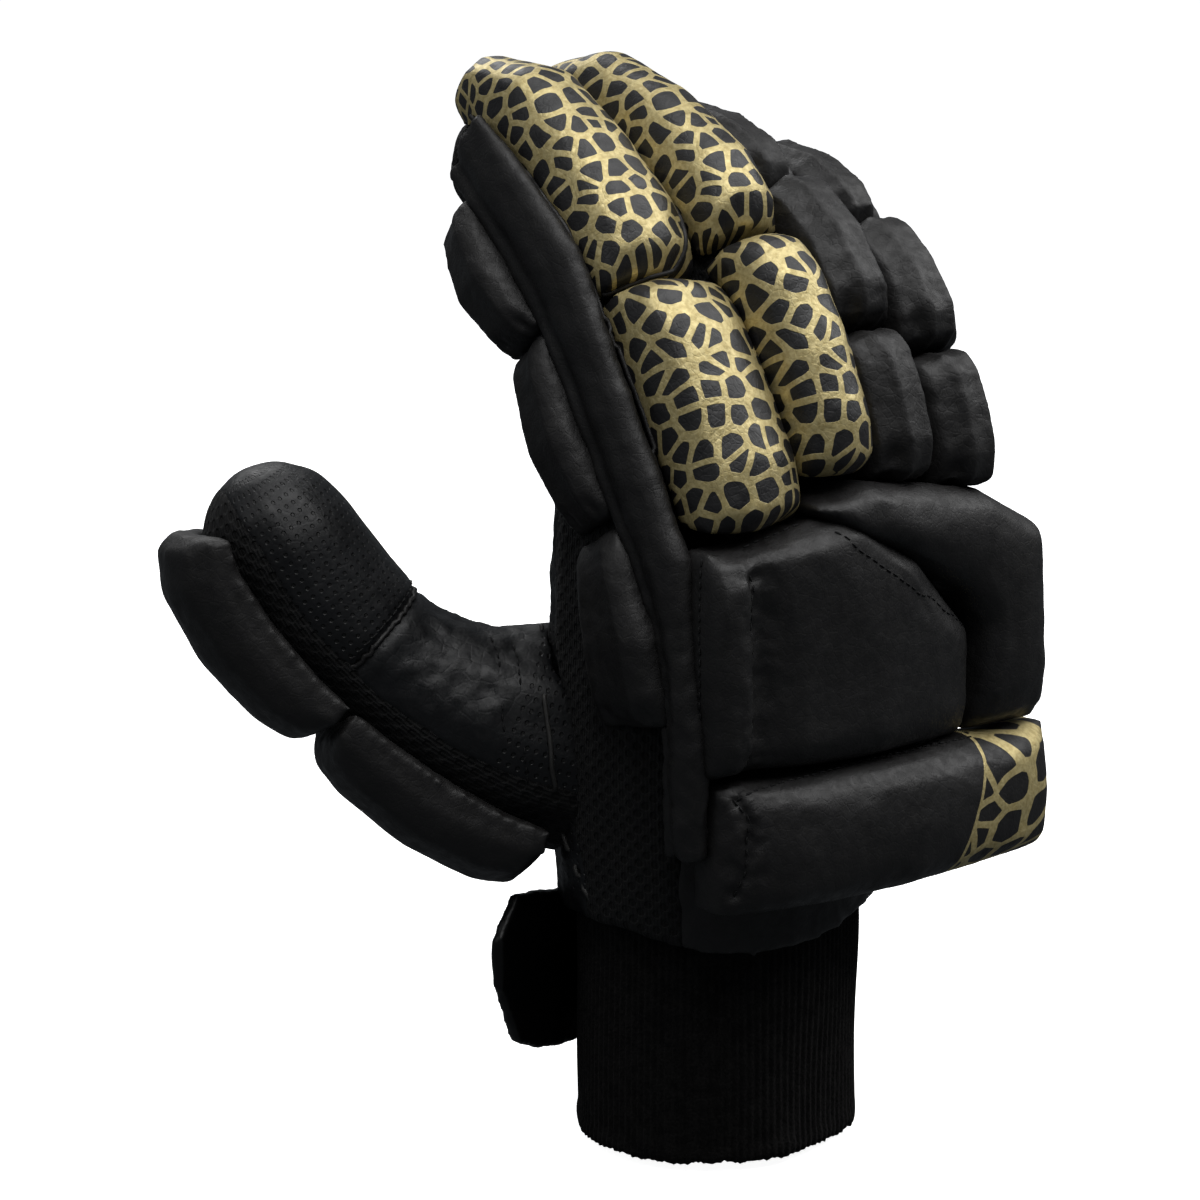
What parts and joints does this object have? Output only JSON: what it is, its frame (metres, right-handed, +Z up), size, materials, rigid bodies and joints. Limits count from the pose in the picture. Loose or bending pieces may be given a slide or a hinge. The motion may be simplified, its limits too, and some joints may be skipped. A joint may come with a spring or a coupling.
{
  "type": "batting glove",
  "caption": "Right-hand cricket batting glove in black leather with padded finger rolls, gold crackle print, mesh panels and a knitted cuff.",
  "frame": {"origin": "middle of the wrist opening, in the plane of the cuff's hem", "axes": "+Z up the hand to the fingertips, -Y out of the back of the hand, -X to the thumb side"},
  "size_m": [0.1922, 0.1458, 0.2696],
  "materials": {
    "leather_black": "soft sheen, fine grain",
    "leather_palm": "glossy, wrinkled, partly perforated",
    "leather_gold_print": "gold crackle print on black",
    "mesh_fabric": "open mesh, matt",
    "rib_knit": "ribbed knit, brushed"
  },
  "bodies": {
    "root": {"back_leather": "leather_black", "wrist_strap": "leather_black", "ring_base_pad": "leather_black", "ring_middle_pad": "leather_black", "ring_tip_pad": "leather_black", "little_base_pad": "leather_black", "little_middle_pad": "leather_black", "little_tip_pad": "leather_black", "thumb_base_pad": "leather_black", "thumb_tip_pad": "leather_black", "index_side_pad_tip": "leather_black", "index_side_pad_middle": "leather_black", "hand_side_pad": "leather_black", "index_side_strip": "leather_black", "back_edge_pad": "leather_black", "back_main_pad": "leather_black", "knuckle_pad": "leather_black", "wrist_bar": "leather_black", "palm_leather": "leather_palm", "thumb_stall": "leather_palm", "index_base_roll": "leather_gold_print", "index_tip_roll": "leather_gold_print", "middle_base_roll": "leather_gold_print", "middle_tip_roll": "leather_gold_print", "side_mesh": "mesh_fabric", "thumb_mesh": "mesh_fabric", "index_stall": "mesh_fabric", "middle_stall": "mesh_fabric", "ring_stall": "mesh_fabric", "little_stall": "mesh_fabric", "knit_cuff": "rib_knit"}
  },
  "joints": []
}
